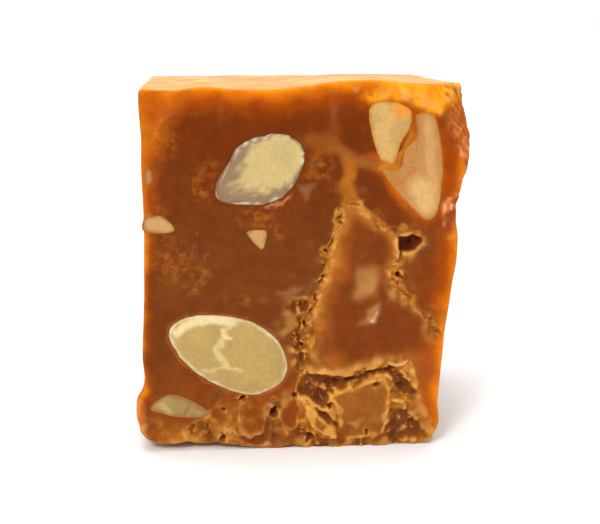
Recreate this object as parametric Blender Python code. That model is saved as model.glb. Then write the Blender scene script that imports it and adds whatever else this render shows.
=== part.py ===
"""One knife-cut piece of caramel fudge with whole and split almonds set in it.

Metres, +Z up. The front cut face looks along -Y and +X is to its right. The origin is under the middle
of the piece, on the surface that it stands on. Sizes below are in millimetres, and MM turns them to metres.
"""

import math

import bmesh
import bpy
from mathutils import Vector

MM = 0.001

# Driving dimensions of the piece
WIDTH = 41.0
DEPTH = 30.0
HEIGHT = 45.8
EDGE_RADIUS = 0.8
FRONT = -DEPTH / 2
BACK = DEPTH / 2

# The clearance that an almond keeps in its pocket, and how far a cutter starts outside the face
CLEARANCE = 0.35
OUTSIDE = 1.0

# The sides of the front face: how far out each lies, at heights above the surface or places along the width
LEFT_SIDE = ((0, -19.9), (2.5, -20.45), (5, -20.5), (7.5, -19.8), (20, -19.2), (40, -18.7), (43, -19.1), (46, -19.2))
RIGHT_SIDE = ((0, 17.0), (10, 17.7), (22, 19.0), (28.5, 19.0), (33, 19.6), (38.5, 20.5), (43, 19.8), (46, 19.8))
TOP_SIDE = ((-20, 45.2), (-12, 45.3), (-5, 44.9), (0, 45.2), (6, 45.8), (11, 45.7), (14, 45.3), (20, 45.3))
# The foot of the front face is a little lifted at its left end
FOOT_SIDE = ((-20, 1.1), (-11, 1.0), (-6, 0.2), (-4, 0.0), (20, 0.0))
# The back face is plainer
BACK_LEFT, BACK_RIGHT, BACK_TOP = -19.6, 18.6, 45.0
# Behind this the piece stands flat on its underside
FOOT_LIFT_DEPTH = 5.0

# Grid lines across the width, the depth and the height, between the rounded edges
GRID_STEPS = (12, 8, 14)

# Broken facets, each a plane: the way it faces, and a point on it (x, y, z)
FACETS = {
    "top_left_corner": ((-0.47, -0.86, 0.19), (-17.5, FRONT, 38.6)),
    "right_edge_chip": ((0.62, -0.72, 0.32), (19.3, FRONT, 38.5)),
}
FACET_SIZE = 20.0

# Almonds that the front face cuts: the outline of each cut, from its left tip round under it, and its depth
FRONT_ALMONDS = {
    "almond_upper": (
        ((-10.2, 32.9), (-8.4, 32.0), (-5.6, 31.3), (-2.6, 32.0), (-0.6, 34.0), (0.4, 37.2), (-0.6, 39.4),
         (-3.4, 39.8), (-6.6, 38.8), (-8.9, 36.2)),
        5.0,
    ),
    "almond_lower": (
        ((-16.2, 15.2), (-14.8, 12.0), (-12.4, 9.6), (-9.6, 8.2), (-6.0, 7.2), (-3.2, 8.4), (-1.8, 10.8),
         (-3.2, 14.4), (-5.8, 16.6), (-8.8, 17.0), (-12.2, 17.7), (-15.0, 16.8)),
        5.5,
    ),
    "almond_foot": (
        ((-18.7, 6.0), (-16.6, 4.8), (-14.0, 4.3), (-11.3, 4.8), (-13.2, 6.8), (-15.6, 7.8), (-17.6, 7.4)),
        2.6,
    ),
    "almond_split_left": (
        ((7.9, 42.5), (8.0, 39.6), (8.8, 37.2), (9.6, 36.2), (11.2, 36.0), (12.0, 38.6), (12.8, 39.6),
         (12.8, 42.2), (10.6, 43.4)),
        4.0,
    ),
    "almond_split_right": (
        ((13.7, 42.1), (13.6, 39.2), (12.7, 37.8), (12.0, 35.4), (9.9, 35.2), (11.6, 31.8), (14.2, 29.4),
         (16.3, 29.5), (17.0, 33.0), (16.9, 37.6), (16.0, 41.6)),
        4.5,
    ),
}

# Almonds that the other faces cut: face, centre along and up the face, length, width, lean in degrees, depth
OTHER_ALMONDS = {
    "almond_back_upper": ("back", (8.6, 33.5), 15.0, 8.4, -35, 5.0),
    "almond_back_middle": ("back", (-9.4, 26.0), 11.5, 7.4, 62, 4.5),
    "almond_back_lower": ("back", (5.2, 10.2), 13.5, 7.0, 14, 4.0),
    "almond_left": ("left", (3.4, 25.5), 14.0, 7.6, 74, 4.0),
    "almond_right": ("right", (4.6, 15.0), 12.0, 6.8, -28, 4.0),
}
OUTLINE_STEPS = 20
DOME_RINGS = 4

# Fissures in the front face: the route of each, and its width and depth
FISSURES = {
    "main": (((4.8, 31.5), (4.6, 28.8), (3.2, 25.5), (2.9, 22.8), (1.8, 20.4), (1.2, 17.4), (-0.1, 14.8),
              (-0.1, 12.4), (0.9, 9.6)), 0.9, 1.4),
    "branch": (((6.4, 31.6), (8.0, 29.9), (9.9, 28.2), (12.2, 27.0)), 0.7, 1.1),
    "right": (((12.4, 25.4), (11.6, 22.6), (12.0, 20.5), (14.0, 18.6), (15.8, 16.4), (17.0, 14.4)), 0.8, 1.2),
}

# Hollows where fudge has broken out of the front face: the outline of each, and its depth
HOLLOWS = {
    "hole": (((12.0, 26.4), (13.2, 26.3), (14.4, 26.2), (13.2, 25.2), (12.1, 24.9)), 3.0),
    "valley": (((0.8, 9.6), (-0.7, 7.6), (0.7, 6.2), (2.8, 5.2), (3.5, 6.6), (5.8, 8.2), (8.2, 9.2), (10.4, 8.9),
                (11.3, 9.7), (9.8, 10.4), (7.0, 9.8), (4.0, 9.3)), 2.2),
    "foot": (((10.6, 5.2), (10.6, 3.4), (10.8, 1.4), (12.8, 0.9), (15.6, 1.2), (15.8, 2.6), (14.2, 4.2), (12.6, 5.3)),
             1.8),
    "gash": (((11.6, 10.4), (11.6, 8.6), (13.2, 6.9), (14.4, 6.8), (13.0, 8.6)), 1.3),
    "pit_left": (((-3.9, 5.4), (-3.9, 4.3), (-3.1, 3.9), (-2.6, 4.6), (-3.1, 5.5)), 1.2),
    "pit_middle": (((-1.1, 19.2), (-0.6, 18.0), (0.4, 18.0), (0.8, 19.0), (-0.1, 19.7)), 1.2),
}

FUDGE_COLOUR = (0.235, 0.070, 0.016)
ALMOND_COLOUR = (0.62, 0.45, 0.20)


def clear_scene():
    for found in list(bpy.data.objects):
        bpy.data.objects.remove(found, do_unlink=True)


def material(name, colour, roughness):
    made = bpy.data.materials.new(name)
    made.use_nodes = True
    shader = made.node_tree.nodes["Principled BSDF"]
    shader.inputs["Base Color"].default_value = (*colour, 1.0)
    shader.inputs["Roughness"].default_value = roughness
    shader.inputs["Metallic"].default_value = 0.0
    return made


def add_object(name, mesh, surface):
    """A new object at the origin, of this bmesh in millimetres, with its faces turned outwards."""
    bmesh.ops.recalc_face_normals(mesh, faces=mesh.faces)
    bmesh.ops.scale(mesh, vec=(MM, MM, MM), verts=mesh.verts)
    data = bpy.data.meshes.new(name)
    mesh.to_mesh(data)
    mesh.free()
    data.materials.append(surface)
    made = bpy.data.objects.new(name, data)
    bpy.context.scene.collection.objects.link(made)
    return made


def hermite(before, start, end, after, part):
    """A smooth run from start to end, whose slope at each end follows its neighbours."""
    slope_in, slope_out = (end - before) / 2, (after - start) / 2
    square, cube = part * part, part * part * part
    return (
        (2 * cube - 3 * square + 1) * start
        + (cube - 2 * square + part) * slope_in
        + (3 * square - 2 * cube) * end
        + (cube - square) * slope_out
    )


def along(side, place):
    """The value of a side's list of (place, value) at this place, eased between its entries."""
    for (start, low), (end, high) in zip(side, side[1:]):
        if place <= end:
            part = min(max((place - start) / (end - start), 0.0), 1.0)
            return low + (high - low) * (3 - 2 * part) * part * part
    return side[-1][1]


def closed_curve(points, steps):
    """About this many points, evenly numbered between the given ones, on a smooth closed curve through them."""
    count = len(points)
    each = max(2, round(steps / count))
    curve = []
    for index in range(count):
        around = [Vector(points[(index + shift) % count]) for shift in (-1, 0, 1, 2)]
        curve += [hermite(*around, step / each) for step in range(each)]
    return curve


def almond_outline(centre, length, width, lean):
    """A pointed oval, with its sharper tip at the upper end of its lean."""
    turn = math.radians(lean)
    points = []
    for step in range(OUTLINE_STEPS):
        angle = 2 * math.pi * step / OUTLINE_STEPS
        point_power = 1.15 + 0.25 * math.cos(angle)
        across = math.copysign(abs(math.sin(angle)) ** point_power, math.sin(angle)) * width / 2
        ahead = math.cos(angle) * length / 2
        points.append(
            Vector(
                (
                    centre[0] + ahead * math.cos(turn) - across * math.sin(turn),
                    centre[1] + ahead * math.sin(turn) + across * math.cos(turn),
                )
            )
        )
    return points


def grown(outline, distance):
    """The outline with each point moved outwards by this distance."""
    count = len(outline)
    area = sum(outline[i - 1].x * outline[i].y - outline[i].x * outline[i - 1].y for i in range(count))
    outwards = 1 if area > 0 else -1
    moved = []
    for index, point in enumerate(outline):
        run = outline[(index + 1) % count] - outline[index - 1]
        moved.append(point + outwards * distance * Vector((run.y, -run.x)).normalized())
    return moved


def centre_of(outline):
    return sum(outline, Vector((0, 0))) / len(outline)


def onto_face(face, point, inwards):
    """The place of a face point (along, up) that lies this far inside the face."""
    if face == "front":
        return Vector((point.x, FRONT + inwards, point.y))
    if face == "back":
        return Vector((point.x, BACK - inwards, point.y))
    across, height = point
    if face == "left":
        return Vector((side_at(LEFT_SIDE, BACK_LEFT, across, height) + inwards, across, height))
    return Vector((side_at(RIGHT_SIDE, BACK_RIGHT, across, height) - inwards, across, height))


def side_at(side, at_back, depth, place):
    """How far out a side lies at this depth, going evenly from its front line to its plain back line."""
    share = (depth - FRONT) / DEPTH
    return along(side, place) * (1 - share) + at_back * share


def foot_at(across, depth):
    fade = max(0.0, 1 - (depth - FRONT) / FOOT_LIFT_DEPTH)
    return along(FOOT_SIDE, across) * fade * fade


def capped_loft(rings):
    """A closed bmesh through these rings of equally many points, with flat ends."""
    mesh = bmesh.new()
    loops = [[mesh.verts.new(point) for point in ring] for ring in rings]
    for lower, upper in zip(loops, loops[1:]):
        for index in range(len(lower)):
            mesh.faces.new((lower[index - 1], lower[index], upper[index], upper[index - 1]))
    mesh.faces.new(loops[0])
    mesh.faces.new(loops[-1])
    return mesh


def dome(face, outline, depth, raised=0.0):
    """A body with this outline at the face, which rounds off to nothing at its depth below the face."""
    centre = centre_of(outline)
    rings = []
    if raised:
        rings.append([onto_face(face, point, -raised) for point in outline])
    for ring in range(DOME_RINGS + 1):
        angle = math.radians(78) * ring / DOME_RINGS
        inwards = depth * math.sin(angle)
        rings.append([onto_face(face, centre + (point - centre) * math.cos(angle), inwards) for point in outline])
    return capped_loft(rings)


def groove(route, width, depth):
    """A V-shaped trench cutter in the front face, along this route, which runs out at its ends."""
    points = [Vector(point) for point in route]
    rings = []
    for index, point in enumerate(points):
        run = points[min(index + 1, len(points) - 1)] - points[max(index - 1, 0)]
        side = Vector((-run.y, run.x)).normalized()
        share = 0.35 if index in (0, len(points) - 1) else 1.0
        # The trench widens upwards past the face, so that its walls cut the face cleanly
        half = width / 2 * share * (depth * share + OUTSIDE) / (depth * share)
        rings.append(
            [
                onto_face("front", point - side * half, -OUTSIDE),
                onto_face("front", point + side * half, -OUTSIDE),
                onto_face("front", point, depth * share),
            ]
        )
    return capped_loft(rings)


def grid_lines(half, steps):
    """Places along one axis of the box: its two ends, a line or two on each rounded edge, and even steps between."""
    inner = half - EDGE_RADIUS
    edge = [half, half - 0.4 * EDGE_RADIUS]
    middle = [-inner + 2 * inner * step / steps for step in range(steps + 1)]
    return [-place for place in edge] + middle + edge[::-1]


def rounded(place, halves):
    """A point on the box moved onto the same box with rounded edges."""
    inner = Vector([min(max(p, EDGE_RADIUS - h), h - EDGE_RADIUS) for p, h in zip(place, halves)])
    return inner + (place - inner).normalized() * EDGE_RADIUS


def fitted(place):
    """A point of the plain rounded box moved to the real piece, whose sides bulge and lean."""
    depth = place.y
    height = place.z + HEIGHT / 2
    left = side_at(LEFT_SIDE, BACK_LEFT, depth, height)
    right = side_at(RIGHT_SIDE, BACK_RIGHT, depth, height)
    across = left + (right - left) * (place.x / WIDTH + 0.5)
    top = side_at(TOP_SIDE, BACK_TOP, depth, across)
    foot = foot_at(across, depth)
    return Vector((across, depth, foot + (top - foot) * height / HEIGHT))


def fudge_block():
    """The block before anything is cut from it: a fine box of quads, rounded and fitted to the real sides."""
    halves = (WIDTH / 2, DEPTH / 2, HEIGHT / 2)
    lines = [grid_lines(half, steps) for half, steps in zip(halves, GRID_STEPS)]
    mesh = bmesh.new()
    corners = {}

    def corner(key):
        if key not in corners:
            place = Vector([axis[index] for axis, index in zip(lines, key)])
            corners[key] = mesh.verts.new(fitted(rounded(place, halves)))
        return corners[key]

    for fixed in range(3):
        first, second = [axis for axis in range(3) if axis != fixed]
        for end in (0, len(lines[fixed]) - 1):
            for i in range(len(lines[first]) - 1):
                for j in range(len(lines[second]) - 1):
                    keys = []
                    for di, dj in ((0, 0), (1, 0), (1, 1), (0, 1)):
                        key = [0, 0, 0]
                        key[fixed], key[first], key[second] = end, i + di, j + dj
                        keys.append(tuple(key))
                    mesh.faces.new([corner(key) for key in keys])
    return mesh


def facet_cutter(facing, through):
    """A block whose one face is the facet's plane, and which lies on the side that it faces."""
    mesh = bmesh.new()
    bmesh.ops.create_cube(mesh, size=FACET_SIZE)
    turn = Vector((0, 0, 1)).rotation_difference(Vector(facing)).to_matrix().to_4x4()
    bmesh.ops.translate(mesh, vec=(0, 0, FACET_SIZE / 2), verts=mesh.verts)
    bmesh.ops.transform(mesh, matrix=turn, verts=mesh.verts)
    bmesh.ops.translate(mesh, vec=through, verts=mesh.verts)
    return mesh


def almond_cuts():
    """Each almond's name, face, outline on that face and depth."""
    for name, (points, depth) in FRONT_ALMONDS.items():
        yield name, "front", closed_curve(points, OUTLINE_STEPS), depth
    for name, (face, centre, length, width, lean, depth) in OTHER_ALMONDS.items():
        yield name, face, almond_outline(centre, length, width, lean), depth


def cut(target, cutter):
    """Leaves a Boolean on the target that takes the cutter away, and keeps the cutter out of the model."""
    cutter.hide_render = True
    cutter.display_type = "WIRE"
    step = target.modifiers.new(cutter.name, "BOOLEAN")
    step.operation = "DIFFERENCE"
    step.solver = "EXACT"
    step.object = cutter


def build_fudge(surface):
    block = add_object("fudge", fudge_block(), surface)
    for name, (facing, through) in FACETS.items():
        cut(block, add_object("cut_" + name, facet_cutter(facing, through), surface))
    for name, face, outline, depth in almond_cuts():
        pocket = dome(face, grown(outline, CLEARANCE), depth + CLEARANCE, raised=OUTSIDE)
        cut(block, add_object("cut_" + name, pocket, surface))
    for name, (route, width, depth) in FISSURES.items():
        cut(block, add_object("cut_" + name, groove(route, width, depth), surface))
    for name, (points, depth) in HOLLOWS.items():
        outline = [Vector(point) for point in points]
        cut(block, add_object("cut_" + name, dome("front", outline, depth, raised=OUTSIDE), surface))


def build_almonds(surface):
    for name, face, outline, depth in almond_cuts():
        almond = add_object(name, dome(face, outline, depth), surface)
        almond.data.shade_smooth()
        almond.data.set_sharp_from_angle(angle=math.radians(50))


clear_scene()
build_fudge(material("fudge", FUDGE_COLOUR, 0.42))
build_almonds(material("almond", ALMOND_COLOUR, 0.55))
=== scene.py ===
"""The looks of a knife-cut block of caramel fudge with almonds in it.

The surfaces are worked out in millimetres, as arrays of points, and turned to metres when a mesh is made.
The front cut face looks along -Y. Places on it are given as (across, up).
"""

import itertools
import math

import bpy
import numpy as np
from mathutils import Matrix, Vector


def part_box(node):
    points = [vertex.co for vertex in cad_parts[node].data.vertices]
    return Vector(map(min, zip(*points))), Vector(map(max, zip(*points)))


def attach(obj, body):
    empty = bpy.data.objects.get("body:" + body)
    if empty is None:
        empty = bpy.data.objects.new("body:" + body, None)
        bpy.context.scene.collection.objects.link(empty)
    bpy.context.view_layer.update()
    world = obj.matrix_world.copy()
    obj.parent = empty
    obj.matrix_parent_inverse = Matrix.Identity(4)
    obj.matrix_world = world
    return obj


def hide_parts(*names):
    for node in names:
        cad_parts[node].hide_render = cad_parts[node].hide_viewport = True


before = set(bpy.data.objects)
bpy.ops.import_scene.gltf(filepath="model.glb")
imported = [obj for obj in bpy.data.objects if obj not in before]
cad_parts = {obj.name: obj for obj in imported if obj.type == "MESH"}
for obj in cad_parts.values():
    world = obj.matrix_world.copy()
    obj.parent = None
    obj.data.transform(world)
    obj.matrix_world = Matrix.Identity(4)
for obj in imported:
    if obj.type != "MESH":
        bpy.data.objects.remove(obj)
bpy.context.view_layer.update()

MM = 0.001
SEED = 11

# The block's box in the frame, in millimetres
LOW, HIGH = (np.array(corner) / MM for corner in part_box("fudge"))
FRONT, BACK = LOW[1], HIGH[1]

# The plain box that is bent to the block's shape, in millimetres
WIDTH, DEPTH, HEIGHT = 41.0, BACK - FRONT, 45.8
HALVES = np.array((WIDTH, DEPTH, HEIGHT)) / 2
EDGE_RADIUS = 0.55

# The box's first grid, how many times its edges may be split, and how long they may stay, in millimetres
GRID_STEP = 1.4
SPLIT_ROUNDS = 7
LONGEST = {
    "plain": 1.0, "edge": 0.5, "side crumbs": 0.5, "hidden fissure": 0.25, "front": 0.5, "lump": 0.3,
    "crumbs": 0.19, "fissure": 0.13, "hollow": 0.18, "pit": 0.15, "almond rim": 0.19, "under almond": 1.0,
}

# Distances from an outline are measured only up to this, in millimetres
FAR = 3.0

# What the stage's lights do to a base colour: the gloss they add, and how much they brighten it
VEIL = 0.005
GAIN = 1.04

# ---- the sides of the block

# How far out each side of the front face lies, as (height, across) or (across, height)
LEFT_SIDE = (
    (0, -17.6), (0.5, -19), (1.2, -19.8), (2.6, -20.35), (5, -20.5), (6.4, -20.3), (7.4, -19.75),
    (12, -19.6), (20, -19.2), (28.5, -18.95), (36, -19), (40.6, -19), (42.2, -19.15), (46, -19.25),
)
RIGHT_SIDE = (
    (0, 15.4), (0.4, 16.4), (1.3, 17.1), (6, 17.4), (11, 17.75), (19.5, 18.65), (25, 19.3), (27.6, 19.25),
    (29, 18.95), (31, 19.05), (33, 19.45), (36.5, 20.2), (39.2, 20.5), (41, 20.2), (43.6, 19.65),
    (46, 19.8),
)
TOP_SIDE = (
    (-20, 44.9), (-15, 45), (-12, 45.4), (-8, 45.1), (-3, 45), (1.2, 45.4), (4.2, 45.8), (10.8, 45.8),
    (13, 45.5), (20, 45.4),
)
FOOT_SIDE = ((-20, 1.2), (-17.5, 1), (-11, 1), (-8, 0.45), (-5, 0), (20, 0))
BACK_LEFT, BACK_RIGHT, BACK_TOP = -19.6, 18.6, 45.0
FOOT_LIFT_DEPTH = 5.0

# Broken facets: the way each faces, a point on it, and how rough it is
FACETS = (
    ((-0.47, -0.86, 0.19), (-17.5, FRONT, 38.6), 0.10),
    ((0.62, -0.72, 0.32), (19.3, FRONT, 38.5), 0.35),
    ((-0.62, -0.45, 0.64), (-18.2, FRONT, 44.2), 0.15),
)

# ---- what the front face shows

ALMONDS = {
    "almond_upper": ((-10.3, 32.3), (-8.2, 37.5), (-5, 39.5), (-1.5, 39.6), (0.4, 37.5), (-0.5, 34.2),
        (-3, 31.8), (-6.5, 31.2)),
    "almond_lower": ((-16.3, 15.2), (-14.5, 17.2), (-10.5, 17.6), (-6, 16.6), (-3, 14.2), (-1.7, 10.5),
        (-3.5, 8), (-6.5, 7.2), (-10, 8.3), (-14, 11)),
    "almond_foot": ((-19, 5.9), (-16.8, 7.7), (-14, 7), (-11.2, 4.9), (-14, 4.2), (-17.5, 4.9)),
    "almond_split_left": ((8, 43), (8, 40.5), (9, 37), (10, 35.9), (11.3, 36), (12, 38.3), (13.2, 40.5),
        (13, 42.6), (10.5, 43.6)),
    "almond_split_right": ((13.5, 42), (13.6, 39.5), (12.2, 37.8), (11.6, 35.6), (9.5, 35.5), (11, 33),
        (14, 29.8), (15.5, 29), (16.7, 30.2), (17.2, 34.5), (16.8, 39), (15.8, 42)),
}

# The almonds whose edges a film of fudge laps over
FILMED = ("almond_split_left", "almond_split_right", "almond_foot")

# How deep the ground lies under an almond's face, and how far an almond's rim is rounded down, in millimetres
SEAT_DEPTH = 1.5
CUT_DROP, FILMED_DROP = 0.16, 0.10

# Almonds that the hidden faces cut: face, centre along and up it, length, width, lean in degrees
HIDDEN_ALMONDS = {
    "almond_back_upper": ("back", (8.6, 33.5), 15, 8.4, -35),
    "almond_back_middle": ("back", (-9.4, 26), 11.5, 7.4, 62),
    "almond_back_lower": ("back", (5.2, 10.2), 13.5, 7, 14),
    "almond_left": ("left", (3.4, 25.5), 14, 7.6, 74),
    "almond_right": ("right", (4.6, 15), 12, 6.8, -28),
}

# Fissures: route, half width, depth
FISSURES = {
    "main": (((4.8, 31.5), (4.5, 28), (3.2, 25.5), (2.8, 22.5), (1.8, 20.5), (1.5, 18.5), (-0.5, 15.5),
        (-0.2, 12.5), (0.8, 9.8)), 0.20, 0.42),
    "branch": (((5.2, 31.5), (7.2, 31), (9.5, 28.5), (14.2, 26.9)), 0.14, 0.2),
    "right": (((12.3, 25.4), (11.2, 22), (13, 19.5), (15.5, 17), (17.6, 14.2)), 0.17, 0.28),
}

# Fissures in the hidden faces: face, route, half width, depth
HIDDEN_FISSURES = (
    ("back", ((-19.5, 14.2), (-16.6, 14.4), (-14.6, 15.6), (-12, 13.6), (-8.8, 14.4), (-6.2, 11.8),
        (-5.4, 8), (-7, 4.4), (-6, 0)), 0.24, 0.6),
    ("back", ((-2.6, 45), (-1.8, 41.2), (-3.2, 38.4), (-1.6, 35.6)), 0.16, 0.4),
    ("right", ((-14, 30.4), (-11, 29), (-8.4, 30.6), (-4.8, 28.6), (-2.6, 25.8), (0.4, 25), (3, 26.6)),
        0.20, 0.5),
    ("left", ((-14, 9.8), (-10.8, 11), (-8.2, 8.6), (-4.6, 9.8), (-1.6, 7.4), (0.4, 3.2), (-0.6, 0)),
        0.20, 0.5),
)

# The fragment that the fissures and the broken ground bound, whose edge is paler
FRAGMENT = (
    (4.9, 31.2), (4.4, 28), (3, 23.5), (1.5, 18.5), (0.1, 13.5), (0.8, 10), (5, 9.6), (11.5, 11.2),
    (13.6, 10.2), (15, 5), (16.6, 1.8), (18.6, 2), (19.5, 13.6), (16, 16.5), (11.5, 21.8), (12.2, 25),
    (11.5, 27.2), (7.5, 30.8),
)

# Hollows where fudge has broken out: outline, depth, how wide the wall's slope is
HOLLOWS = {
    "hole": (((11.8, 27), (14.6, 27), (14, 25.5), (12.2, 25)), 1.3, 0.35),
    "valley": (((0.5, 9.8), (5.5, 9.4), (10.5, 10.5), (11.2, 9.6), (8, 9), (4, 7.5), (3, 5), (0.5, 6.5),
        (-0.8, 7.5)), 1.25, 0.6),
    "foot": (((11.3, 4.9), (12.8, 5), (16, 1.8), (15.2, 0.7), (10.8, 0.6)), 0.95, 0.8),
    "gash": (((10.9, 10.6), (12.2, 10), (14.5, 7), (13, 6.7), (11.5, 8.2)), 1.1, 0.5),
    "cleft": (((2, 5.4), (4.6, 3.2), (4.4, 2.4), (2.2, 4.2)), 1, 0.4),
}

# Round pits: centre across and up, radius, depth
PITS = (
    (-7.5, 6.8, 0.34, 0.9), (-3.5, 4.9, 0.62, 0.9), (0, 13.5, 0.26, 0.8), (0.2, 18.4, 0.75, 0.6),
    (0.4, 16.2, 0.42, 1), (-9.8, 5.5, 0.25, 0.5), (-9.9, 1.6, 0.40, 0.6), (1, 1.4, 0.55, 0.9),
    (9.4, 8.1, 0.42, 0.6), (3.5, 5.5, 0.35, 0.8), (12, 22.3, 0.40, 0.8), (-13.8, 3, 0.45, 0.5),
    (-0.9, 7.2, 0.40, 0.7), (8.3, 2, 0.30, 0.5), (2.9, 25.4, 0.22, 0.7), (2.6, 22.3, 0.24, 0.7),
)

# The crumbly ground at the foot and round the fissures
CRUMBLY = (
    ((-20.4, 3), (-15.6, 3.4), (-12.4, 4.2), (-10.6, 7), (-7.6, 7), (-6.4, 5.6), (-8.4, 3.4), (-5.6, 1.4),
        (-4.6, 4.4), (-3.8, 6.4), (-2.4, 6), (-2.2, 3.8), (-0.4, 3.2), (-0.8, 6.8), (0.2, 9.6), (5, 9.6),
        (11.4, 11.4), (13.8, 11.2), (15, 6.8), (14, 5), (16.8, 1.6), (17.2, -0.5), (-20.4, -0.5)),
    ((-1.8, 19.6), (0.4, 20.2), (2, 18.6), (2.2, 15.6), (2, 12.8), (1.4, 10.2), (-0.4, 9.6), (-1, 12.6),
        (-1.4, 15.4), (-0.8, 17.2)),
)

# Chips broken off the right edge, with a fine crystalline face
CHIPS = (
    ((17.4, 41.4), (18.2, 42.4), (20.8, 42.2), (21.2, 39), (21, 33), (20.2, 33.4), (19.4, 36.2),
        (18.2, 39.4)),
    ((17.6, 31.9), (20.4, 32.2), (20.4, 28.4), (17.6, 28.4)),
)

# Smooth and raised pieces among the crumbs: outline, height above the crumbs, how wide the slope is
PLATES = (
    (((3.3, 7), (7.5, 8.5), (10.2, 9.1), (11.3, 7.5), (11, 3.2), (10, 1.2), (5.8, 1), (4.6, 2.8),
        (4.4, 5)), 0.62, 0.5),
    (((-2.9, 5.8), (-0.8, 5.6), (-0.3, 3.5), (-1.2, 2.1), (-2.7, 3.2)), 0.55, 0.5),
    (((10.8, 11.2), (13.5, 11.5), (12.2, 10.3)), 0.75, 0.3),
    (((11.4, 6.2), (13.1, 6), (12.2, 5.4)), 0.7, 0.3),
    (((0.5, 5.6), (2, 5), (4.9, 1.5), (3, 1.4), (0.8, 3.2)), 0.8, 0.45),
    (((-21, 6.9), (-19.6, 6.9), (-19.2, 3.8), (-19.6, 2.6), (-21.2, 2.6)), 0.5, 0.4),
    (((-8, 6), (-5, 6.6), (-4.4, 4.4), (-4.6, 2), (-7.4, 1.6)), 0.5, 0.6),
)

# Orange lumps of glaze along the top right edge: centre across and up, radius, height
LUMPS = (
    (9.9, 44.2, 1.5, 0.25), (12.4, 43.9, 1.3, 0.35), (14.8, 43.3, 1.5, 0.40), (17.2, 44.4, 1.3, 0.45),
    (19, 44.8, 0.9, 0.30), (6.6, 44.8, 1.2, 0.15), (16.2, 42.4, 0.8, 0.25),
)

# ---- small helpers


def linear(red, green, blue):
    """A screen colour of 0 to 255 as linear light."""
    screen = np.array((red, green, blue)) / 255
    return np.where(screen <= 0.04045, screen / 12.92, ((screen + 0.055) / 1.055) ** 2.4)


def look(red, green, blue):
    """The base colour that shows as this screen colour under the stage's lights."""
    return np.clip((linear(red, green, blue) - VEIL) / GAIN, 0.0005, 0.95)


def ease(low, high, value):
    """0 below low, 1 above high and a smooth run between; the other way round if low is above high."""
    part = np.clip((value - low) / (high - low), 0, 1)
    return part * part * (3 - 2 * part)


def hermite(part, start, leaving, end, arriving):
    """The smooth run from start to end with these slopes at its ends, at each part of the way."""
    square, cube = part**2, part**3
    return (
        (2 * cube - 3 * square + 1) * start
        + (cube - 2 * square + part) * leaving
        + (3 * square - 2 * cube) * end
        + (cube - square) * arriving
    )


def along(side, places):
    """A smooth curve through the (place, value) entries of a side, read at these places."""
    keys, values = np.array(side, float).T
    slopes = np.gradient(values, keys)
    low = np.clip(np.searchsorted(keys, places, side="right") - 1, 0, len(keys) - 2)
    span = keys[low + 1] - keys[low]
    part = np.clip((places - keys[low]) / span, 0, 1)
    return hermite(part, values[low], span * slopes[low], values[low + 1], span * slopes[low + 1])


def hashed(cells, seed):
    """An even-spread number from 0 to 1 for each whole-number cell."""
    mixed = np.full(len(cells), seed * 2654435761 % 2**32, np.uint64)
    for column in cells.T:
        mixed = (mixed ^ (column.astype(np.int64) & 0xFFFFFFFF).astype(np.uint64)) * np.uint64(0x9E3779B1)
        mixed = (mixed ^ (mixed >> np.uint64(15))) & np.uint64(0xFFFFFFFF)
    mixed = (mixed * np.uint64(0x85EBCA6B)) & np.uint64(0xFFFFFFFF)
    mixed ^= mixed >> np.uint64(13)
    return mixed.astype(float) / 2**32


# Noise in space is tilted, so that no face of the block lies along its cells
TILT = np.array(((0.80, 0.36, -0.48), (-0.60, 0.48, -0.64), (0.0, 0.80, 0.60)))


def noise(places, size, seed=0, octaves=1):
    """Smooth noise from about -1 to 1, whose largest lumps are of this size."""
    if places.shape[1] == 3:
        places = places @ TILT
    total, weight, norm = np.zeros(len(places)), 1.0, 0.0
    for octave in range(octaves):
        scaled = places / size * 2**octave + 17.3 * octave
        cell = np.floor(scaled).astype(np.int64)
        part = scaled - cell
        part = part * part * part * (part * (part * 6 - 15) + 10)
        for corner in itertools.product((0, 1), repeat=places.shape[1]):
            share = np.prod(np.where(corner, part, 1 - part), axis=1)
            total += weight * share * (2 * hashed(cell + np.array(corner), SEED + seed + octave) - 1)
        norm += weight
        weight *= 0.5
    return total / norm * 1.4


def grains(places, size, seed=0):
    """Distance from each place to the nearest of many scattered grains, in sizes."""
    scaled = places / size
    cell = np.floor(scaled).astype(np.int64)
    axes = range(places.shape[1])
    near = np.full(len(places), 9.0)
    for step in itertools.product((-1, 0, 1), repeat=len(axes)):
        there = cell + np.array(step)
        jitter = np.stack([hashed(there, SEED + seed + 31 * axis) for axis in axes], axis=1)
        near = np.minimum(near, np.linalg.norm(there + jitter - scaled, axis=1))
    return near


def ragged(places, size, reach, seed=0):
    """The places, each pushed about by noise of this size and this reach."""
    push = [noise(places, size, seed + 7 * axis, 2) for axis in range(places.shape[1])]
    return places + reach * np.stack(push, axis=1)


def route_gap(places, route):
    """Distance from each place to a route of straight runs."""
    route = np.asarray(route, float)
    best = np.full(len(places), np.inf)
    for start, end in zip(route[:-1], route[1:]):
        run = end - start
        part = np.clip((places - start) @ run / (run @ run), 0, 1)
        best = np.minimum(best, np.linalg.norm(places - start - part[:, None] * run, axis=1))
    return best


def off_spot(places, x, z):
    """Distance from each place to a spot."""
    return np.linalg.norm(places - (x, z), axis=1)


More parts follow.
